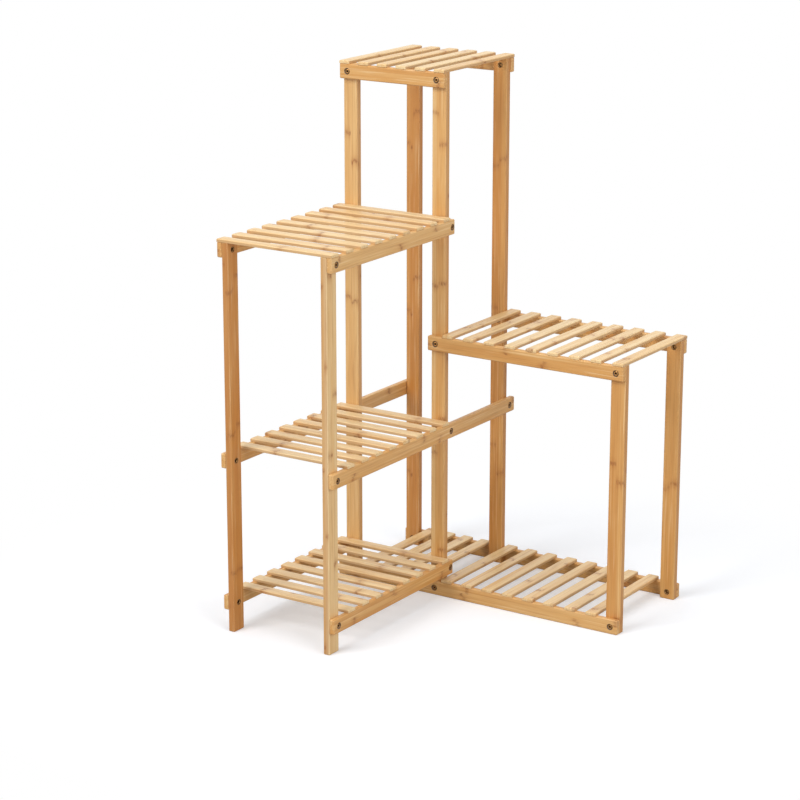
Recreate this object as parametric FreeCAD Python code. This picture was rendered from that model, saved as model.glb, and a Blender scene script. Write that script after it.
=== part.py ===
import FreeCAD, Part
import math
import os

from FreeCAD import Vector

os.makedirs("parts", exist_ok=True)

# A corner plant stand of bamboo. A tall square tower stands in the corner. One wing runs
# from it to the front (-Y) with three decks, and one runs to the right (+X) with two.
# Every deck is a pair of rails bolted to the outer faces of the posts, with slats on top.
# The origin is on the floor, in the middle of the square that the stand takes up.

# ---- Driving dimensions, in millimetres ----
stand_length = 620.0           # along X, over the right wing
stand_depth = 620.0            # along Y, over the left wing
stand_height = 1010.0          # floor to the top of the tower slats

post_width = 30.0
post_thickness = 13.0
post_edge_bevel = 1.2

rail_height = 28.0
rail_thickness = 11.0
rail_edge_bevel = 1.6
rail_overhang = 2.0            # how far a rail runs past the tower post it ends on

slat_width = 22.0
slat_thickness = 6.0
slat_edge_bevel = 1.5

tower_length = 226.0           # along X, over the tower posts
tower_depth = 226.0            # along Y, over the tower posts
tower_slat_count = 6
wing_slat_count = 9
wing_slat_clearance = 1.0      # between the last wing slat and the tower post behind it

left_top_height = 738.0        # floor to the top of the slats
left_middle_height = 347.0
left_bottom_height = 75.0
right_top_height = 516.0

countersink_diameter = 12.0    # at the rail's outer face, with a cone of 45 degrees a side
bolt_head_depth = 1.0          # from the rail's outer face down to the bolt's head
bolt_shank_diameter = 6.0
bolt_shank_clearance = 0.25
bolt_seat_clearance = 0.05     # between the head's cone and the countersink
socket_width = 4.0             # across the flats of the hexagon socket in the head
socket_depth = 2.0
insert_bolt_end_gap = 3.0      # from the bolt's tip to the far face of the post it runs through
insert_diameter = 10.0
insert_clearance = 0.05        # between the insert and the hole in the post
insert_face_gap = 0.5          # how far both ends of the insert lie below the post's faces
thread_clearance = 0.05
long_bolt_grip = 22.0          # how deep a bolt goes into the narrow side of a post
pilot_depth_margin = 2.0       # depth of the blind hole past the bolt's tip
fastener_sides = 16            # flat sides that stand for each round surface of the fasteners

# ---- Places worked out from the dimensions ----
left_face = -stand_length / 2.0
right_face = stand_length / 2.0
front_face = -stand_depth / 2.0
back_face = stand_depth / 2.0

tower_left = left_face + rail_thickness
tower_right = tower_left + tower_length
tower_back = back_face - rail_thickness
tower_front = tower_back - tower_depth

left_wing_right_face = tower_right + rail_thickness
right_wing_front_face = tower_front - rail_thickness

tower_rail_top = stand_height - slat_thickness
left_top_rail_top = left_top_height - slat_thickness
left_middle_rail_top = left_middle_height - slat_thickness
left_bottom_rail_top = left_bottom_height - slat_thickness
right_top_rail_top = right_top_height - slat_thickness
right_bottom_rail_top = rail_height


class Bar:
    """A straight piece of wood: its name, its low corner and its size along X, Y and Z."""

    def __init__(self, name, low, size, edge_bevel):
        self.name = name
        self.size = size
        self.middle = low + size * 0.5
        block = Part.makeBox(size.x, size.y, size.z, low)
        self.solid = block.makeChamfer(edge_bevel, block.Edges)


def post(name, x, y, width_x, width_y, top):
    """An upright post that stands on the floor, with its low corner at x, y."""
    return Bar(name, Vector(x, y, 0.0), Vector(width_x, width_y, top), post_edge_bevel)


def rail_along_x(name, start, end, y, top):
    """A rail along X whose low Y face is at y."""
    low = Vector(start, y, top - rail_height)
    return Bar(name, low, Vector(end - start, rail_thickness, rail_height), rail_edge_bevel)


def rail_along_y(name, start, end, x, top):
    """A rail along Y whose low X face is at x."""
    low = Vector(x, start, top - rail_height)
    return Bar(name, low, Vector(rail_thickness, end - start, rail_height), rail_edge_bevel)


def slat(low, size):
    """A slat with its four upper edges bevelled and a flat underside that lies on the rails."""
    block = Part.makeBox(size.x, size.y, size.z, low)
    middle = low.z + size.z / 2.0
    upper_edges = [edge for edge in block.Edges if edge.BoundBox.ZMin > middle]
    return block.makeChamfer(slat_edge_bevel, upper_edges)


def spaced(start, end, count):
    """The starting places of count slats, spread evenly from start to end."""
    pitch = (end - start - slat_width) / (count - 1)
    return [start + index * pitch for index in range(count)]


def slats_along_x(places, rail_top):
    """Slats across the left wing, one starting at each place along Y."""
    size = Vector(left_wing_right_face - left_face, slat_width, slat_thickness)
    return [slat(Vector(left_face, place, rail_top), size) for place in places]


def slats_along_y(places, rail_top):
    """Slats across the tower or the right wing, one starting at each place along X."""
    size = Vector(slat_width, back_face - right_wing_front_face, slat_thickness)
    return [slat(Vector(place, right_wing_front_face, rail_top), size) for place in places]


# ---- Fasteners: each is drawn along +Z from the outer face of a rail, then placed ----
def turned(profile):
    """A turned piece, in flat sides, from the (radius, depth) points of half its outline."""
    faces = []
    turn = 2.0 * math.pi / fastener_sides
    for side in range(fastener_sides):
        for start, end in zip(profile, profile[1:] + profile[:1]):
            corners = [(start, side), (end, side), (end, side + 1), (start, side + 1)]
            points = []
            for (radius, depth), step in corners:
                angle = step * turn
                point = Vector(radius * math.cos(angle), radius * math.sin(angle), depth)
                if not any(point.isEqual(other, 1e-6) for other in points):
                    points.append(point)
            if len(points) > 2:
                faces.append(Part.Face(Part.makePolygon(points + points[:1])))
    return Part.makeSolid(Part.makeShell(faces)).removeSplitter()


def is_narrow(post_depth):
    """Whether a bolt enters the narrow side of a post, where an insert has no room."""
    return post_depth > post_thickness


def bolt_tip(post_depth):
    """How far the bolt reaches from the rail's outer face."""
    if is_narrow(post_depth):
        return rail_thickness + long_bolt_grip
    return rail_thickness + post_depth - insert_bolt_end_gap


def hexagon_socket():
    """The hollow in a bolt's head that takes the key."""
    reach = socket_width / math.sqrt(3.0)
    corners = []
    for side in range(6):
        angle = side * math.pi / 3.0
        corners.append(Vector(reach * math.cos(angle), reach * math.sin(angle), bolt_head_depth))
    outline = Part.makePolygon(corners + corners[:1])
    return Part.Face(outline).extrude(Vector(0.0, 0.0, socket_depth))


def connector_bolt(post_depth):
    """A countersunk bolt that runs through the rail into the post."""
    shank = bolt_shank_diameter / 2.0
    head = countersink_diameter / 2.0 - bolt_head_depth - bolt_seat_clearance
    neck = bolt_head_depth + head - shank
    tip = bolt_tip(post_depth)
    profile = [(0.0, bolt_head_depth), (head, bolt_head_depth), (shank, neck), (shank, tip), (0.0, tip)]
    return turned(profile).cut(hexagon_socket())


def threaded_insert(post_depth):
    """The sleeve in the post that the bolt screws into."""
    start = rail_thickness + insert_face_gap
    end = rail_thickness + post_depth - insert_face_gap
    outer = insert_diameter / 2.0
    bore = bolt_shank_diameter / 2.0 + thread_clearance
    return turned([(bore, start), (outer, start), (outer, end), (bore, end)])


def rail_hole():
    """The countersink for the bolt's head and the hole for its shank."""
    mouth = countersink_diameter / 2.0
    bore = bolt_shank_diameter / 2.0 + bolt_shank_clearance
    sink = mouth - bore
    profile = [(0.0, 0.0), (mouth, 0.0), (bore, sink), (bore, rail_thickness), (0.0, rail_thickness)]
    return turned(profile)


def post_hole(post_depth):
    """A hole right through for an insert, or a blind hole in the narrow side of a post."""
    start = rail_thickness
    if is_narrow(post_depth):
        radius = bolt_shank_diameter / 2.0 + thread_clearance
        end = start + long_bolt_grip + pilot_depth_margin
    else:
        radius = insert_diameter / 2.0 + insert_clearance
        end = start + post_depth
    return turned([(0.0, start), (radius, start), (radius, end), (0.0, end)])


def placed(shape, point, direction):
    """A fastener or its hole, moved to point and turned to face along direction."""
    moved = shape.copy()
    turn = FreeCAD.Rotation(Vector(0.0, 0.0, 1.0), direction)
    moved.Placement = FreeCAD.Placement(point, turn)
    return moved


short_bolts = []
long_bolts = []
threaded_inserts = []


def bolt_together(rail, posts, direction):
    """Bolt a rail to its posts. direction points from the rail's outer face into the posts."""
    for upright in posts:
        point = Vector(upright.middle.x, upright.middle.y, rail.middle.z)
        if direction.x:
            point.x = rail.middle.x - direction.x * rail_thickness / 2.0
            depth = upright.size.x
        else:
            point.y = rail.middle.y - direction.y * rail_thickness / 2.0
            depth = upright.size.y
        rail.solid = rail.solid.cut(placed(rail_hole(), point, direction))
        upright.solid = upright.solid.cut(placed(post_hole(depth), point, direction))
        bolt = placed(connector_bolt(depth), point, direction)
        if is_narrow(depth):
            long_bolts.append(bolt)
        else:
            short_bolts.append(bolt)
            threaded_inserts.append(placed(threaded_insert(depth), point, direction))


# ---- Posts ----
left_wing_post_left = post(
    "left_wing_post_left", tower_left, front_face, post_thickness, post_width, left_top_rail_top)
left_wing_post_right = post(
    "left_wing_post_right", tower_right - post_thickness, front_face,
    post_thickness, post_width, left_top_rail_top)
tower_post_front_left = post(
    "tower_post_front_left", tower_left, tower_front, post_width, post_thickness, tower_rail_top)
tower_post_front_right = post(
    "tower_post_front_right", tower_right - post_width, tower_front,
    post_width, post_thickness, tower_rail_top)
tower_post_back_left = post(
    "tower_post_back_left", tower_left, tower_back - post_thickness,
    post_width, post_thickness, tower_rail_top)
tower_post_back_right = post(
    "tower_post_back_right", tower_right - post_width, tower_back - post_thickness,
    post_width, post_thickness, tower_rail_top)
right_wing_post_front = post(
    "right_wing_post_front", right_face - post_width, tower_front,
    post_width, post_thickness, right_top_rail_top)
right_wing_post_back = post(
    "right_wing_post_back", right_face - post_width, tower_back - post_thickness,
    post_width, post_thickness, right_top_rail_top)

front_left_pair = [left_wing_post_left, tower_post_front_left]
front_right_pair = [left_wing_post_right, tower_post_front_right]
tower_front_pair = [tower_post_front_left, tower_post_front_right]
tower_back_pair = [tower_post_back_left, tower_post_back_right]
posts = front_left_pair + front_right_pair + tower_back_pair
posts += [right_wing_post_front, right_wing_post_back]

# ---- Rails ----
to_right = Vector(1.0, 0.0, 0.0)
to_left = Vector(-1.0, 0.0, 0.0)
to_back = Vector(0.0, 1.0, 0.0)
to_front = Vector(0.0, -1.0, 0.0)

tower_rail_start = tower_left - rail_overhang
tower_rail_end = tower_right + rail_overhang
left_rail_end = tower_front + post_thickness + rail_overhang
right_rail_start = tower_right - post_width - rail_overhang

rails = []


def add_rail(rail, uprights, direction):
    """Keep a rail and bolt it to its uprights."""
    bolt_together(rail, uprights, direction)
    rails.append(rail)


def left_wing_rails(deck, rail_top, end, left_posts, right_posts):
    """The left and right rails of a deck of the left wing."""
    left = rail_along_y(deck + "_rail_left", front_face, end, left_face, rail_top)
    right = rail_along_y(deck + "_rail_right", front_face, end, tower_right, rail_top)
    add_rail(left, left_posts, to_right)
    add_rail(right, right_posts, to_left)


def cross_rails(deck, rail_top, start, end, front_posts, back_posts):
    """The front and back rails of a deck of the tower or of the right wing."""
    front = rail_along_x(deck + "_rail_front", start, end, right_wing_front_face, rail_top)
    back = rail_along_x(deck + "_rail_back", start, end, tower_back, rail_top)
    add_rail(front, front_posts, to_back)
    add_rail(back, back_posts, to_front)


cross_rails(
    "tower_top", tower_rail_top, tower_rail_start, tower_rail_end,
    tower_front_pair, tower_back_pair)
left_wing_rails(
    "left_top", left_top_rail_top, left_rail_end, front_left_pair, front_right_pair)
left_wing_rails(
    "left_middle", left_middle_rail_top, back_face,
    front_left_pair + [tower_post_back_left], front_right_pair + [tower_post_back_right])
left_wing_rails(
    "left_bottom", left_bottom_rail_top, left_rail_end, front_left_pair, front_right_pair)
cross_rails(
    "right_top", right_top_rail_top, right_rail_start, right_face,
    [tower_post_front_right, right_wing_post_front],
    [tower_post_back_right, right_wing_post_back])
cross_rails(
    "right_bottom", right_bottom_rail_top, left_face, right_face,
    tower_front_pair + [right_wing_post_front], tower_back_pair + [right_wing_post_back])

# ---- Slats ----
tower_places = spaced(tower_rail_start, tower_rail_end, tower_slat_count)
left_places = spaced(front_face, tower_front - wing_slat_clearance, wing_slat_count)
right_places = spaced(tower_right + wing_slat_clearance, right_face, wing_slat_count)

tower_top_slats = slats_along_y(tower_places, tower_rail_top)
left_top_slats = slats_along_x(left_places, left_top_rail_top)
left_middle_slats = slats_along_x(left_places[1:], left_middle_rail_top)
left_bottom_slats = slats_along_x(left_places[1:], left_bottom_rail_top)
right_top_slats = slats_along_y(right_places, right_top_rail_top)
right_bottom_slats = slats_along_y(right_places[:-1], right_bottom_rail_top)
tower_floor_slats = slats_along_y(tower_places[1:-1], right_bottom_rail_top)


# ---- One file for each node ----
def keep(name, shape):
    """Write one node to its own file."""
    shape.exportStep("parts/" + name + ".step")


def keep_each(name, shapes):
    """Write each shape of a row as a numbered node."""
    for number, shape in enumerate(shapes, start=1):
        keep(name + "_" + str(number), shape)


def keep_group(name, shapes):
    """Write separate solids of one kind as one node."""
    keep(name, Part.makeCompound(shapes))


for bar in posts + rails:
    keep(bar.name, bar.solid)

keep_each("tower_top_slat", tower_top_slats)
keep_each("left_top_slat", left_top_slats)
keep_each("left_middle_slat", left_middle_slats)
keep_each("right_top_slat", right_top_slats)
keep_group("left_bottom_slats", left_bottom_slats)
keep_group("right_bottom_slats", right_bottom_slats)
keep_group("tower_floor_slats", tower_floor_slats)
keep_group("short_bolts", short_bolts)
keep_group("long_bolts", long_bolts)
keep_group("threaded_inserts", threaded_inserts)

print("posts", len(posts), "rails", len(rails), "bolts", len(short_bolts) + len(long_bolts))
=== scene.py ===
import math

import bmesh
import bpy
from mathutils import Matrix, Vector


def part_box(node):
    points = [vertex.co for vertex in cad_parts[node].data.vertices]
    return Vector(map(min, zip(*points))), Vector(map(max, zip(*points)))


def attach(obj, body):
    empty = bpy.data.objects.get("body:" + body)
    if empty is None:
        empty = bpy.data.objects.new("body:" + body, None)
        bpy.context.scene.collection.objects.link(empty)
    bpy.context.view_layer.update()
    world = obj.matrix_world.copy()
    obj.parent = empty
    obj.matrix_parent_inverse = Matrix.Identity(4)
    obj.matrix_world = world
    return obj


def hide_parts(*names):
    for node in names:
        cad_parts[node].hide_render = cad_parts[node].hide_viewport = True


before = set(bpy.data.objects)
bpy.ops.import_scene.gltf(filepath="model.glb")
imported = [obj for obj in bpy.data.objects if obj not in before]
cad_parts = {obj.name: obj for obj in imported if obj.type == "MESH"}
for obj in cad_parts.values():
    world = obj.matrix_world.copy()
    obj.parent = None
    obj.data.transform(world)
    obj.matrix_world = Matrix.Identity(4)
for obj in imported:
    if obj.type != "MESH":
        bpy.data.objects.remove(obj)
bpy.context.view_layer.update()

# Lengths are in metres and angles in degrees. Colours are sRGB from 0 to 255, unless a comment
# says that they are linear. A ramp is (low, high, start, end): the result goes smoothly from
# start to end while the value goes from low to high.

# ---- Camera: the photograph's view, with no shift ----
IMAGE_SIZE = 800
FOCAL_PIXELS = 2567.0
SENSOR = 36.0                          # in millimetres
VIEW_YAW = 33.39
VIEW_PITCH = 15.8
VIEW_DISTANCE = 4.689
VIEW_END = 60.0
AIM_HEIGHT = 0.5                       # the aim point is this far above the middle of the base
AIM_RIGHT = 0.1047                     # the aim point lies right of the picture's middle
AIM_UP = 0.0808                        # and above it

# ---- Light ----
WORLD_STRENGTH = 0.44                  # as the world lights the stand
WORLD_SEEN = 1.0                       # as the camera and reflections see it
WHITE = (1.0, 1.0, 1.0, 1.0)           # linear
LAMPS = (
    # name, place, height of the point it is aimed at, size, power in watts
    ("key", (-2.4, -6.3, 5.4), 0.45, 4.4, 360.0),
    ("top", (0.2, 0.1, 7.0), 0.5, 4.0, 140.0),
    ("fill", (6.2, -2.4, 3.0), 0.5, 4.0, 180.0),
)
FLOOR_SIZE = 14.0
FLOOR_SEEN = (0.765, 0.79, 0.83, 1.0)  # linear, as the camera sees the floor
FLOOR_BOUNCE = (0.55, 0.55, 0.55, 1.0)  # linear, as the floor lights the stand
FLOOR_GLOW = 0.25                      # lifts the lit floor to white for the camera only
FLOOR_FADE = (0.42, 1.0)               # between these radii the floor turns plain white

# ---- Bamboo: colours ----
BAMBOO_TONES = ((236, 207, 157), (227, 185, 124), (215, 161, 92), (199, 133, 62))
FIBRE_DARK = (172, 108, 50)
FIBRE_PALE = (246, 218, 170)
RING_DARK = (142, 78, 32)
WORN_EDGE = (244, 214, 166)
# painted shade in the countersinks and at the open insert ends, partly dark cut fibres
HOLE_SHADE_DARK = (50, 27, 12)

# ---- Bamboo: strips and layers ----
POST_STRIP = 0.0100                    # width of a laminated strip on each kind of bar
RAIL_STRIP = 0.0095
SLAT_STRIP = 0.011
LAYER = 0.0065                         # thickness of a laminated layer
GLUE_HALF_WIDTH = 0.0003
GLUE_STRENGTH = 0.40
SEED_STEP = 3.0                        # keeps the random numbers of the nodes apart
OTHER_LOT = 0.5                        # and those of a piece, a strip and a cane

# ---- Bamboo: fibres, as noise drawn out along the grain: (length, width, detail) ----
CLOUDS = (0.22, 0.018, 1.0)
BROAD_FIBRES = (0.13, 0.0034, 2.0)
FINE_FIBRES = (0.040, 0.0009, 3.0)
MOTTLE = (0.0080, 0.0042, 3.0)
FIBRE_ROUGHNESS = 0.6
STRIP_SLIDE = 17.0                     # how far the fibres may shift from strip to strip
PIECE_SHIFT = 0.37                     # how far they shift across from piece to piece
DARK_BROAD = (0.50, 0.76, 0.0, 0.42)   # ramps from a noise to the strength of a colour
DARK_FINE = (0.52, 0.80, 0.0, 0.30)
PALE_BROAD = (0.46, 0.26, 0.0, 0.42)

# ---- Bamboo: tone, where 0 is the palest of BAMBOO_TONES and 1 the darkest ----
TONE_START = 0.36                      # taken off, because the three shares below only add
TONE_OF_PIECE = 0.18
TONE_OF_STRIP = 0.24
TONE_OF_CLOUDS = 0.42

# ---- Bamboo: growth rings ----
CANE_WIDTH = 0.0151                    # rings line up over this much of the width
RING_SPACING = 0.24                    # from one ring of the cane to the next
RING_SPACING_EXTRA = 0.10              # how much longer the spacing may be
RING_SPACINGS_OFF = 9.0                # how far the rings of two canes may be apart
RING_STRIP_SHIFT = 0.009               # how far a strip may shift its part of a ring
RING_WAVES = 0.008                     # how far the broad fibres bend a ring
RING_HALF_HEIGHT = 0.0058
RING_CORE = 0.0008                     # half the height of its darkest part
RING_STREAK = 0.018                    # how far dark fibres run out from a ring
RING_PATCHES = (0.40, 0.62, 0.25, 1.0)
RING_BOLDNESS = (0.0, 0.6, 0.45, 1.0)
STREAK_FIBRES = (0.36, 0.62, 0.3, 1.0)
RING_STRENGTH = 0.66
STREAK_STRENGTH = 0.42

# ---- Bamboo: edges, holes and surface ----
EDGE_SOFTENING = 0.0014
EDGE_SAMPLES = 4
WORN_COSINES = (0.995, 0.93)           # between the true normal and the softened one
WORN_STRENGTH = 0.20
HOLE_SHADE_RADIUS = 0.0062                    # radius of the ring of painted shade round a countersink, partly dark cut fibres
INSERT_SHADE_RADIUS = 0.0054                  # and round the open end of an insert
HOLE_SHADE_EDGE = (1.05, 0.94)              # shares of that radius over which the painted shade sets in
HOLE_SHADE_STRENGTH = 0.86
FINE_RELIEF = 0.5
RING_RELIEF = 0.8
WOOD_BUMP = (0.22, 0.0003)             # strength and distance
WOOD_ROUGHNESS = (0.2, 0.8, 0.36, 0.50)  # ramp from the fine fibres
LACQUER_WEIGHT = 0.12
LACQUER_ROUGHNESS = 0.30

# How warm the bamboo of each piece is, from 0 for straw to 1 for honey.
WARMTH = {
    "left_wing_post_left": 0.92, "left_wing_post_right": 0.14,
    "tower_post_front_left": 0.32, "tower_post_front_right": 0.42,
    "tower_post_back_left": 0.90, "tower_post_back_right": 0.74,
    "right_wing_post_front": 0.62, "right_wing_post_back": 0.68,
    "right_top_rail_front": 0.66, "right_bottom_rail_front": 0.50,
    "tower_top_rail_front": 0.62, "left_top_rail_right": 0.36,
    "left_middle_rail_right": 0.44,
}
RAIL_WARMTH = 0.55
SLAT_WARMTH = 0.05

# Each node that holds a row of slats, and the single slats that are spaced as that row is.
SLAT_ROWS = {
    "left_bottom_slats": "left_middle_slat",
    "right_bottom_slats": "right_top_slat",
    "tower_floor_slats": "tower_top_slat",
}

# ---- Metal ----
PLATED_STEEL = ((196, 146, 92), (30, 16, 8), 0.17)  # clean colour, colour of the tarnish and of the painted shade, roughness
YELLOW_ZINC = ((176, 134, 84), (66, 44, 26), 0.32)
MARKS = (2600.0, 2.0)                  # scale and detail of the turning marks
TARNISH = (420.0, 3.0)                 # and of the tarnished patches
# painted shade: the metal is darkened where the AO node finds other surfaces close by
PAINTED_SHADE_REACH = 0.0025
PAINTED_SHADE_SAMPLES = 8
PAINTED_SHADE_IN_CORNERS = (0.90, 0.58)         # ramp from how open the place is, for painted shade in corners and recesses
DIRT_IN_PATCHES = (0.46, 0.70, 0.0, 0.6)
METAL_BUMP = (0.15, 0.0001)
METAL_ROUGHNESS_MARKS = (0.3, 0.7)     # the marks' noise at the smooth and the rough end
METAL_ROUGHNESS_RANGE = (-0.06, 0.10)  # added to the metal's roughness at those two ends

# ---- Fasteners ----
TOUCHING = 1e-4                        # faces that are nearer than this lie against each other
ROUND_SIDES = 42
SHARP_ANGLE = 35.0
BOLT_HEAD_RADIUS = 0.00455
BOLT_SHANK_RADIUS = 0.0029
BOLT_CROWN_DEPTH = 0.0007              # from the rail's face down to the crown of the head
BOLT_RIM_DEPTH = 0.0014                # and down to its rim
BOLT_EDGE = 0.0002                     # how much the head's rim and the socket are rounded
BOLT_TIP_EDGE = 0.0004
BOLT_TIP_GAP = 0.0030                  # from the tip to the post's far face
LONG_BOLT_GRIP = 0.022                 # how deep a bolt goes into the narrow side of a post
CROWN_STEPS = 7
CROWN_POWER = 3                        # the crown is nearly flat and falls off at its rim
SOCKET_RADIUS = 0.0023                 # from the middle to a corner
SOCKET_MOUTH = 1.15                    # how much wider the socket is at its mouth
SOCKET_LEDGE = 0.0001
SOCKET_DEPTH = 0.0024
INSERT_RADIUS = 0.0050
INSERT_BORE = 0.00305
INSERT_EDGE = 0.0005
INSERT_FACE_GAP = 0.0005               # how far both ends lie below the post's faces
THREAD_STEPS = 10
THREAD_DEPTH = 0.00035


def linear(rgb):
    """An sRGB colour of 0 to 255 as linear values with alpha."""
    def channel(value):
        share = value / 255
        return share / 12.92 if share <= 0.0404 else ((share + 0.055) / 1.055) ** 2.4

    return tuple(channel(value) for value in rgb) + (1.0,)


class Graph:
    """Short calls for building the node tree of a material or of the world."""

    def __init__(self, owner):
        owner.use_nodes = True
        self.tree = owner.node_tree
        self.tree.nodes.clear()

    def node(self, kind, **settings):
        made = self.tree.nodes.new("ShaderNode" + kind)
        for key, value in settings.items():
            setattr(made, key, value)
        return made

    def link(self, value, socket):
        """Join a node's output to the socket, or set the socket to a plain value."""
        if isinstance(value, bpy.types.NodeSocket):
            self.tree.links.new(value, socket)
        else:
            socket.default_value = value

    def math(self, operation, first, second=0.0, clamp=False):
        made = self.node("Math", operation=operation, use_clamp=clamp)
        self.link(first, made.inputs[0])
        self.link(second, made.inputs[1])
        return made.outputs[0]

    def plus(self, first, second, clamp=False):
        return self.math("ADD", first, second, clamp)

    def minus(self, first, second):
        return self.math("SUBTRACT", first, second)

    def times(self, first, second):
        return self.math("MULTIPLY", first, second)

    def over(self, first, second):
        return self.math("DIVIDE", first, second)

    def floor(self, value):
        return self.math("FLOOR", value)

    def centred(self, value):
        """A value of 0 to 1, moved so that its middle is 0."""
        return self.minus(value, 0.5)

    def ramp(self, value, low, high, start=0.0, end=1.0):
        made = self.node("MapRange", interpolation_type="SMOOTHSTEP")
        for index, item in enumerate((value, low, high, start, end)):
            self.link(item, made.inputs[index])
        return made.outputs[0]

    def vector(self, x, y, z):
        made = self.node("CombineXYZ")
        for index, item in enumerate((x, y, z)):
            self.link(item, made.inputs[index])
        return made.outputs[0]

    def noise(self, vector, scale, detail, roughness=0.5):
        made = self.node("TexNoise")
        self.link(vector, made.inputs["Vector"])
        made.inputs["Scale"].default_value = scale
        made.inputs["Detail"].default_value = detail
        made.inputs["Roughness"].default_value = roughness
        return made.outputs["Fac"]

    def lots(self, first, second, third):
        """Three random numbers that stay the same over one cell."""
        cell = self.node("TexWhiteNoise", noise_dimensions="3D")
        self.link(self.vector(first, second, third), cell.inputs[0])
        parts = self.node("SeparateColor")
        self.link(cell.outputs["Color"], parts.inputs[0])
        return parts.outputs

    def mix(self, factor, first, second):
        """The first colour where the factor is 0 and the second one where it is 1."""
        made = self.node("Mix", data_type="RGBA")
        self.link(factor, made.inputs[0])
        self.link(first, made.inputs[6])
        self.link(second, made.inputs[7])
        return made.outputs[2]

    def tones(self, value, colours):
        """A smooth run through evenly spaced colours as value goes from 0 to 1."""
        made = self.node("ValToRGB")
        stops = made.color_ramp.elements
        while len(stops) < len(colours):
            stops.new(0.5)
        for index, colour in enumerate(colours):
            stops[index].position = index / (len(colours) - 1)
            stops[index].color = linear(colour)
        self.link(value, made.inputs[0])
        return made.outputs[0]

    def off_axis(self, place, centre, axis):
        """How far a point is from the line through centre along the axis."""
        away = self.node("VectorMath", operation="SUBTRACT")
        self.link(place, away.inputs[0])
        away.inputs[1].default_value = centre
        flat = self.node("VectorMath", operation="MULTIPLY")
        self.link(away.outputs[0], flat.inputs[0])
        flat.inputs[1].default_value = [0.0 if index == axis else 1.0 for index in range(3)]
        length = self.node("VectorMath", operation="LENGTH")
        self.link(flat.outputs[0], length.inputs[0])
        return length.outputs["Value"]

    def bump(self, height, strength, distance):
        """A node that raises the surface by height; its Normal input is still free."""
        made = self.node("Bump")
        made.inputs["Strength"].default_value = strength
        made.inputs["Distance"].default_value = distance
        self.link(height, made.inputs["Height"])
        return made

    def finish(self, kind, shader):
        """Join the shader to the tree's output node, of the given kind."""
        self.link(shader, self.node(kind).inputs[0])


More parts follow.
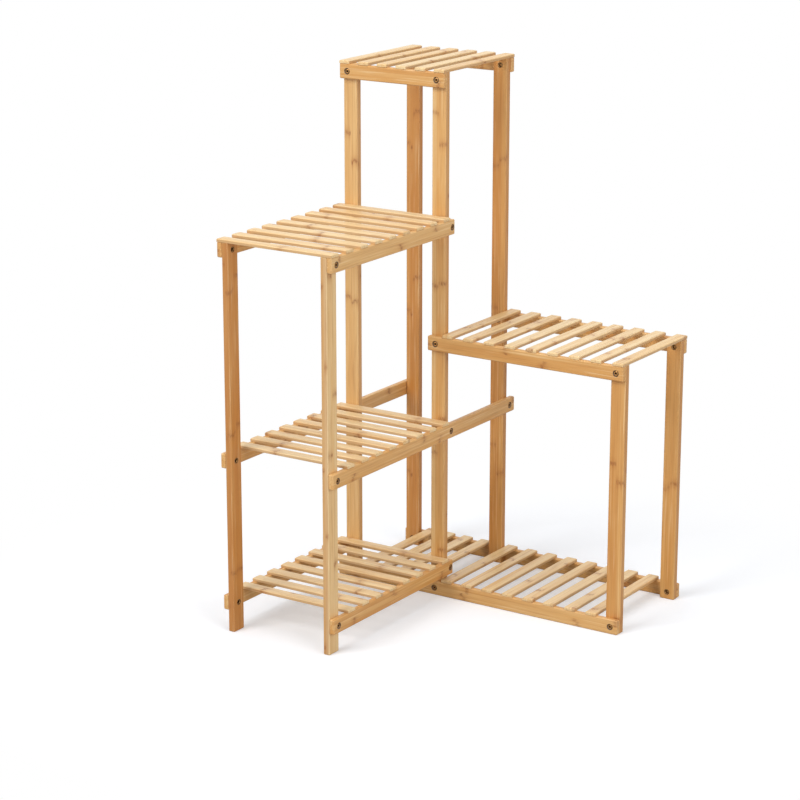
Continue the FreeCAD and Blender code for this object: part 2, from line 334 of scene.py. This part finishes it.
def bamboo(name, low, axes, strip, seed, warmth, pitch, holes):
    """Laminated bamboo: strips in their own tones, fibres along the grain, growth rings.

    axes are the indices of the grain, the width and the thickness. With a pitch, the node
    holds a row of slats, and each one gets its own tone. holes are (centre, axis, radius)
    of the drilled ends, darkened as painted shade and partly as dark cut fibres.
    """
    material = bpy.data.materials.new(name)
    g = Graph(material)
    point = g.node("TexCoord").outputs["Object"]
    place = g.node("SeparateXYZ")
    g.link(point, place.inputs[0])
    along = place.outputs[axes[0]]
    across = g.minus(place.outputs[axes[1]], low[axes[1]])
    depth = g.minus(place.outputs[axes[2]], low[axes[2]])
    piece = 0.0
    if pitch:
        piece = g.floor(g.over(across, pitch))
        across = g.minus(across, g.times(piece, pitch))
    piece = g.plus(piece, seed * SEED_STEP)

    # the random numbers of each strip, piece and cane
    strip_place = g.over(across, strip)
    strip_index = g.floor(strip_place)
    layer_index = g.floor(g.over(depth, LAYER))
    cane_index = g.floor(g.over(across, CANE_WIDTH))
    strip_tone, ring_boldness, strip_shift = g.lots(strip_index, layer_index, piece)
    piece_tone, _, _ = g.lots(layer_index, piece, OTHER_LOT)
    ring_phase, ring_pace, _ = g.lots(cane_index, layer_index, g.plus(piece, OTHER_LOT))

    # fibres: noise drawn out along the grain, from another place in each strip and piece
    slide = g.plus(along, g.times(strip_tone, STRIP_SLIDE))
    shift = g.plus(across, g.times(piece, PIECE_SHIFT))

    def fibres(length, width, detail):
        drawn = g.vector(g.over(slide, length), g.over(shift, width), g.over(depth, width))
        return g.noise(drawn, 1.0, detail, FIBRE_ROUGHNESS)

    clouds = fibres(*CLOUDS)
    broad = fibres(*BROAD_FIBRES)
    fine = fibres(*FINE_FIBRES)
    mottle = fibres(*MOTTLE)

    # growth rings: an uneven dark band, with dark fibres that run out of it
    spacing = g.plus(g.times(ring_pace, RING_SPACING_EXTRA), RING_SPACING)
    turn = g.plus(g.over(along, spacing), g.times(ring_phase, RING_SPACINGS_OFF))
    gap = g.times(g.centred(g.math("FRACT", turn)), spacing)
    gap = g.plus(gap, g.times(g.centred(strip_shift), RING_STRIP_SHIFT))
    gap = g.plus(gap, g.times(g.centred(broad), RING_WAVES))
    gap = g.math("ABSOLUTE", gap)
    band = g.ramp(gap, RING_HALF_HEIGHT, RING_CORE)
    band = g.times(band, g.ramp(mottle, *RING_PATCHES))
    band = g.times(band, g.ramp(ring_boldness, *RING_BOLDNESS))
    streaks = g.times(g.ramp(gap, RING_STREAK, 0.0), g.ramp(broad, *STREAK_FIBRES))

    # thin dark lines where the strips are glued
    seam = g.math("ABSOLUTE", g.centred(g.math("FRACT", strip_place)))
    glue = g.ramp(seam, 0.5 - GLUE_HALF_WIDTH / strip, 0.5)

    # the plain tone, from the piece, the strip and the clouds in the wood
    tone = g.plus(warmth - TONE_START, g.times(piece_tone, TONE_OF_PIECE))
    tone = g.plus(tone, g.times(strip_tone, TONE_OF_STRIP))
    tone = g.plus(tone, g.times(clouds, TONE_OF_CLOUDS), clamp=True)
    colour = g.tones(tone, BAMBOO_TONES)

    # the fibres, rings and glue lines over it
    dark = g.plus(g.ramp(broad, *DARK_BROAD), g.ramp(fine, *DARK_FINE))
    colour = g.mix(dark, colour, linear(FIBRE_DARK))
    colour = g.mix(g.ramp(broad, *PALE_BROAD), colour, linear(FIBRE_PALE))
    colour = g.mix(g.times(streaks, STREAK_STRENGTH), colour, linear(FIBRE_DARK))
    colour = g.mix(g.times(band, RING_STRENGTH), colour, linear(RING_DARK))
    colour = g.mix(g.times(glue, GLUE_STRENGTH), colour, linear(FIBRE_DARK))

    # worn, paler edges where the softened normal leaves the true one
    soft = g.node("Bevel", samples=EDGE_SAMPLES)
    soft.inputs["Radius"].default_value = EDGE_SOFTENING
    agree = g.node("VectorMath", operation="DOT_PRODUCT")
    g.link(soft.outputs[0], agree.inputs[0])
    g.link(g.node("NewGeometry").outputs["True Normal"], agree.inputs[1])
    edge = g.ramp(agree.outputs["Value"], *WORN_COSINES)
    colour = g.mix(g.times(edge, WORN_STRENGTH), colour, linear(WORN_EDGE))

    # painted shade round the ends of the holes, partly dark cut fibres
    for centre, axis, radius in holes:
        outer, inner = (radius * share for share in HOLE_SHADE_EDGE)
        hole_shade = g.ramp(g.off_axis(point, centre, axis), outer, inner)
        colour = g.mix(g.times(hole_shade, HOLE_SHADE_STRENGTH), colour, linear(HOLE_SHADE_DARK))

    height = g.plus(g.times(fine, FINE_RELIEF), g.times(band, RING_RELIEF))
    bump = g.bump(g.minus(height, glue), *WOOD_BUMP)
    g.link(soft.outputs[0], bump.inputs["Normal"])

    shader = g.node("BsdfPrincipled")
    g.link(colour, shader.inputs["Base Color"])
    g.link(g.ramp(fine, *WOOD_ROUGHNESS), shader.inputs["Roughness"])
    g.link(bump.outputs[0], shader.inputs["Normal"])
    shader.inputs["Coat Weight"].default_value = LACQUER_WEIGHT
    shader.inputs["Coat Roughness"].default_value = LACQUER_ROUGHNESS
    g.finish("OutputMaterial", shader.outputs[0])
    return material


def metal(name, clean, tarnish_and_shade_colour, roughness):
    """Plated steel with fine turning marks, darker in tarnished patches and with painted shade in
    its corners and recesses.
    """
    material = bpy.data.materials.new(name)
    g = Graph(material)
    place = g.node("TexCoord").outputs["Object"]
    marks = g.noise(place, *MARKS)
    tarnish = g.noise(place, *TARNISH)
    # painted shade in the corners, under the head's rim and in the socket, mixed with the
    # tarnished patches
    corners = g.node("AmbientOcclusion", samples=PAINTED_SHADE_SAMPLES)
    corners.inputs["Distance"].default_value = PAINTED_SHADE_REACH
    shade_and_tarnish = g.ramp(corners.outputs["AO"], *PAINTED_SHADE_IN_CORNERS)
    shade_and_tarnish = g.math("MAXIMUM", shade_and_tarnish, g.ramp(tarnish, *DIRT_IN_PATCHES))
    smooth, rough = (roughness + change for change in METAL_ROUGHNESS_RANGE)
    shader = g.node("BsdfPrincipled")
    g.link(g.mix(shade_and_tarnish, linear(clean), linear(tarnish_and_shade_colour)), shader.inputs["Base Color"])
    shader.inputs["Metallic"].default_value = 1.0
    g.link(g.ramp(marks, *METAL_ROUGHNESS_MARKS, smooth, rough), shader.inputs["Roughness"])
    g.link(g.bump(marks, *METAL_BUMP).outputs[0], shader.inputs["Normal"])
    g.finish("OutputMaterial", shader.outputs[0])
    return material


class Bolt:
    """One bolt: its rail and post, where it enters the rail's face, and the way it points."""

    def __init__(self, rail, post, start, axis, sign, rail_depth, post_depth):
        self.rail = rail
        self.post = post
        self.start = start
        self.axis = axis
        self.inward = Vector([sign if index == axis else 0.0 for index in range(3)])
        self.rail_depth = rail_depth
        self.post_depth = post_depth


def find_bolts():
    """A bolt for each place where a rail lies against a post, worked out from their boxes."""
    found = []
    posts = sorted(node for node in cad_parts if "post" in node)
    for rail in sorted(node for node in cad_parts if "rail" in node):
        rail_low, rail_high = (Vector(corner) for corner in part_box(rail))
        rail_middle = (rail_low + rail_high) / 2
        axis = 1 if rail_high.x - rail_low.x > rail_high.y - rail_low.y else 0
        run = 1 - axis
        for post in posts:
            low, high = (Vector(corner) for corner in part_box(post))
            middle = (low + high) / 2
            gap = min(abs(low[axis] - rail_high[axis]), abs(high[axis] - rail_low[axis]))
            crosses = rail_low[run] - TOUCHING < middle[run] < rail_high[run] + TOUCHING
            if gap > TOUCHING or not crosses or high.z < rail_low.z:
                continue
            sign = 1.0 if middle[axis] > rail_middle[axis] else -1.0
            start = Vector((middle.x, middle.y, rail_middle.z))
            start[axis] = rail_low[axis] if sign > 0 else rail_high[axis]
            depths = rail_high[axis] - rail_low[axis], high[axis] - low[axis]
            found.append(Bolt(rail, post, start, axis, sign, *depths))
    return found


# The short bolts go through the thin side of a post, and the long ones into its narrow side.
bolts = find_bolts()
thin_side = min(bolt.post_depth for bolt in bolts)
short_bolts = [bolt for bolt in bolts if bolt.post_depth < thin_side + TOUCHING]
long_bolts = [bolt for bolt in bolts if bolt not in short_bolts]


def drilled_ends(node):
    """The centre, axis and radius of each open hole end on a rail or post."""
    ends = [(bolt.start, bolt.axis, HOLE_SHADE_RADIUS) for bolt in bolts if bolt.rail == node]
    ends += [(bolt.start, bolt.axis, INSERT_SHADE_RADIUS) for bolt in short_bolts if bolt.post == node]
    return ends


def dress_wood():
    """Every post, rail and slat gets bamboo with its own strips and growth rings."""
    for seed, node in enumerate(sorted(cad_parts), start=1):
        low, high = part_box(node)
        size = [high[index] - low[index] for index in range(3)]
        axes = sorted(range(3), key=lambda index: -size[index])
        pitch = 0.0
        if "post" in node:
            strip, warmth = POST_STRIP, WARMTH[node]
        elif "rail" in node:
            strip, warmth = RAIL_STRIP, WARMTH.get(node, RAIL_WARMTH)
        elif "_slat_" in node:
            strip, warmth = SLAT_STRIP, SLAT_WARMTH
        elif node in SLAT_ROWS:
            strip, warmth = SLAT_STRIP, SLAT_WARMTH
            first, second = (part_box(SLAT_ROWS[node] + end)[0] for end in ("_1", "_2"))
            run = 1 if second[1] > first[1] else 0
            pitch = second[run] - first[run]
            axes = [1 - run, run, 2]
        else:
            continue
        holes = drilled_ends(node)
        wood = bamboo("bamboo_" + node, low, axes, strip, seed, warmth, pitch, holes)
        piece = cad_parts[node]
        piece.data.materials.clear()
        piece.data.materials.append(wood)


def facing(inward):
    """The rotation that turns +Z to the inward direction."""
    return Vector((0.0, 0.0, 1.0)).rotation_difference(inward).to_matrix()


def bridge(mesh, first, second):
    """Faces between two rings of the same count."""
    for side in range(len(first)):
        after = (side + 1) % len(first)
        mesh.faces.new((first[side], first[after], second[after], second[side]))


def lathe(mesh, profile, start, inward):
    """Turn (radius, depth) points about the line from start along inward, open at both ends."""
    turn = facing(inward)
    rings = []
    for radius, depth in profile:
        ring = []
        for side in range(ROUND_SIDES):
            angle = math.tau * side / ROUND_SIDES
            local = Vector((radius * math.cos(angle), radius * math.sin(angle), depth))
            ring.append(mesh.verts.new(start + turn @ local))
        rings.append(ring)
    for first, second in zip(rings, rings[1:]):
        bridge(mesh, first, second)
    return rings


def hexagon(mesh, radius, depth, start, inward):
    """A hexagon with as many points as a round ring, so that the two can be bridged."""
    turn = facing(inward)
    sixth = math.pi / 3
    ring = []
    for side in range(ROUND_SIDES):
        angle = math.tau * side / ROUND_SIDES
        reach = radius * math.cos(sixth / 2) / math.cos(angle % sixth - sixth / 2)
        local = Vector((reach * math.cos(angle), reach * math.sin(angle), depth))
        ring.append(mesh.verts.new(start + turn @ local))
    return ring


def add_bolt(mesh, start, inward, tip):
    """A countersunk bolt with a low crown, a rounded rim and a hexagon socket."""
    mouth_radius = SOCKET_RADIUS * SOCKET_MOUTH
    crown_width = BOLT_HEAD_RADIUS - BOLT_EDGE - mouth_radius
    crown_drop = BOLT_RIM_DEPTH - BOLT_CROWN_DEPTH - BOLT_EDGE
    profile = []
    for step in range(CROWN_STEPS):
        share = step / (CROWN_STEPS - 1)
        radius = mouth_radius + SOCKET_LEDGE + crown_width * share
        profile.append((radius, BOLT_CROWN_DEPTH + crown_drop * share ** CROWN_POWER))
    neck = BOLT_RIM_DEPTH + BOLT_HEAD_RADIUS - BOLT_SHANK_RADIUS
    profile += [
        (BOLT_HEAD_RADIUS, BOLT_RIM_DEPTH),
        (BOLT_SHANK_RADIUS, neck),
        (BOLT_SHANK_RADIUS, tip - BOLT_TIP_EDGE),
        (BOLT_SHANK_RADIUS - BOLT_TIP_EDGE, tip),
    ]
    rings = lathe(mesh, profile, start, inward)
    mesh.faces.new(rings[-1])

    mouth = hexagon(mesh, mouth_radius, BOLT_CROWN_DEPTH, start, inward)
    lip = hexagon(mesh, SOCKET_RADIUS, BOLT_CROWN_DEPTH + BOLT_EDGE, start, inward)
    bottom = hexagon(mesh, SOCKET_RADIUS, BOLT_CROWN_DEPTH + SOCKET_DEPTH, start, inward)
    bridge(mesh, rings[0], mouth)
    bridge(mesh, mouth, lip)
    bridge(mesh, lip, bottom)
    mesh.faces.new(bottom)


def add_insert(mesh, start, inward, first, last):
    """A threaded sleeve: a closed tube with a rounded rim and ribs like a thread inside."""
    profile = [
        (INSERT_RADIUS - INSERT_EDGE, last),
        (INSERT_RADIUS, last - INSERT_EDGE),
        (INSERT_RADIUS, first + INSERT_EDGE),
        (INSERT_RADIUS - INSERT_EDGE, first),
        (INSERT_BORE + INSERT_EDGE, first),
    ]
    threaded = last - first - 2 * INSERT_EDGE
    for index in range(THREAD_STEPS + 1):
        radius = INSERT_BORE + (THREAD_DEPTH if index % 2 else 0.0)
        profile.append((radius, first + INSERT_EDGE + threaded * index / THREAD_STEPS))
    profile.append((INSERT_BORE + INSERT_EDGE, last))
    rings = lathe(mesh, profile, start, inward)
    bridge(mesh, rings[-1], rings[0])


def make_piece(name, fill, material, node):
    """A new piece built by fill, which stands for a node of the frame."""
    mesh = bmesh.new()
    fill(mesh)
    bmesh.ops.recalc_face_normals(mesh, faces=mesh.faces)
    data = bpy.data.meshes.new(name)
    mesh.to_mesh(data)
    mesh.free()
    for face in data.polygons:
        face.use_smooth = True
    data.set_sharp_from_angle(angle=math.radians(SHARP_ANGLE))
    data.materials.append(material)
    piece = bpy.data.objects.new(name, data)
    bpy.context.scene.collection.objects.link(piece)
    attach(piece, "root")
    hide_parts(node)


def make_fasteners():
    """Detailed bolts and inserts in the place of the plain ones."""
    def fill_short(mesh):
        for bolt in short_bolts:
            tip = bolt.rail_depth + bolt.post_depth - BOLT_TIP_GAP
            add_bolt(mesh, bolt.start, bolt.inward, tip)

    def fill_long(mesh):
        for bolt in long_bolts:
            add_bolt(mesh, bolt.start, bolt.inward, bolt.rail_depth + LONG_BOLT_GRIP)

    def fill_inserts(mesh):
        for bolt in short_bolts:
            first = bolt.rail_depth + INSERT_FACE_GAP
            last = bolt.rail_depth + bolt.post_depth - INSERT_FACE_GAP
            add_insert(mesh, bolt.start, bolt.inward, first, last)

    steel = metal("plated_steel", *PLATED_STEEL)
    zinc = metal("yellow_zinc", *YELLOW_ZINC)
    make_piece("short_bolt_set", fill_short, steel, "short_bolts")
    make_piece("long_bolt_set", fill_long, steel, "long_bolts")
    make_piece("threaded_insert_set", fill_inserts, zinc, "threaded_inserts")


def place_facing(item, place, direction):
    """Put a camera or lamp in the scene at place, looking along direction."""
    item.location = place
    item.rotation_mode = "QUATERNION"
    item.rotation_quaternion = direction.to_track_quat("-Z", "Y")
    bpy.context.scene.collection.objects.link(item)


def make_camera():
    """The photograph's camera, placed from its yaw, pitch and distance."""
    yaw, pitch = math.radians(VIEW_YAW), math.radians(VIEW_PITCH)
    level = Vector((-math.sin(yaw), math.cos(yaw), 0.0))
    forward = level * math.cos(pitch) - Vector((0.0, 0.0, math.sin(pitch)))
    right = Vector((math.cos(yaw), math.sin(yaw), 0.0))
    up = right.cross(forward)
    data = bpy.data.cameras.new("camera")
    data.sensor_width = SENSOR
    data.lens = FOCAL_PIXELS * SENSOR / IMAGE_SIZE
    data.clip_end = VIEW_END
    camera = bpy.data.objects.new("camera", data)
    aim = Vector((0.0, 0.0, AIM_HEIGHT))
    place = aim - AIM_RIGHT * right - AIM_UP * up - VIEW_DISTANCE * forward
    place_facing(camera, place, forward)
    bpy.context.scene.camera = camera


def make_lamp(name, place, aim_height, size, power):
    """A square soft light at place, aimed at a point above the middle of the base."""
    data = bpy.data.lights.new(name, "AREA")
    data.shape = "SQUARE"
    data.size = size
    data.energy = power
    lamp = bpy.data.objects.new(name, data)
    place_facing(lamp, place, Vector((0.0, 0.0, aim_height)) - Vector(place))


def make_light():
    """A bright room, a large key light from the front left, one from the top and a weaker fill."""
    world = bpy.data.worlds.new("studio")
    bpy.context.scene.world = world
    g = Graph(world)
    rays = g.node("LightPath")
    seen = g.math("MAXIMUM", rays.outputs["Is Camera Ray"], rays.outputs["Is Glossy Ray"])
    glow = g.node("Background")
    glow.inputs["Color"].default_value = WHITE
    g.link(g.ramp(seen, 0.0, 1.0, WORLD_STRENGTH, WORLD_SEEN), glow.inputs["Strength"])
    g.finish("OutputWorld", glow.outputs[0])
    for lamp in LAMPS:
        make_lamp(*lamp)


def make_floor():
    """A white floor that keeps the shadow and turns plain white for the camera further out."""
    material = bpy.data.materials.new("floor_white")
    g = Graph(material)
    seen = g.node("LightPath").outputs["Is Camera Ray"]
    diffuse = g.node("BsdfDiffuse")
    g.link(g.mix(seen, FLOOR_BOUNCE, FLOOR_SEEN), diffuse.inputs["Color"])
    glow = g.node("Emission")
    g.link(g.times(seen, FLOOR_GLOW), glow.inputs["Strength"])
    near = g.node("AddShader")
    g.link(diffuse.outputs[0], near.inputs[0])
    g.link(glow.outputs[0], near.inputs[1])
    far = g.node("Emission")
    radius = g.off_axis(g.node("TexCoord").outputs["Object"], (0.0, 0.0, 0.0), 2)
    both = g.node("MixShader")
    g.link(g.times(seen, g.ramp(radius, *FLOOR_FADE)), both.inputs[0])
    g.link(near.outputs[0], both.inputs[1])
    g.link(far.outputs[0], both.inputs[2])
    g.finish("OutputMaterial", both.outputs[0])
    bpy.ops.mesh.primitive_plane_add(size=FLOOR_SIZE)
    floor = bpy.context.object
    floor.name = "floor"
    floor.data.materials.append(material)


dress_wood()
make_fasteners()
make_camera()
make_light()
make_floor()
bpy.context.scene.view_settings.view_transform = "Standard"
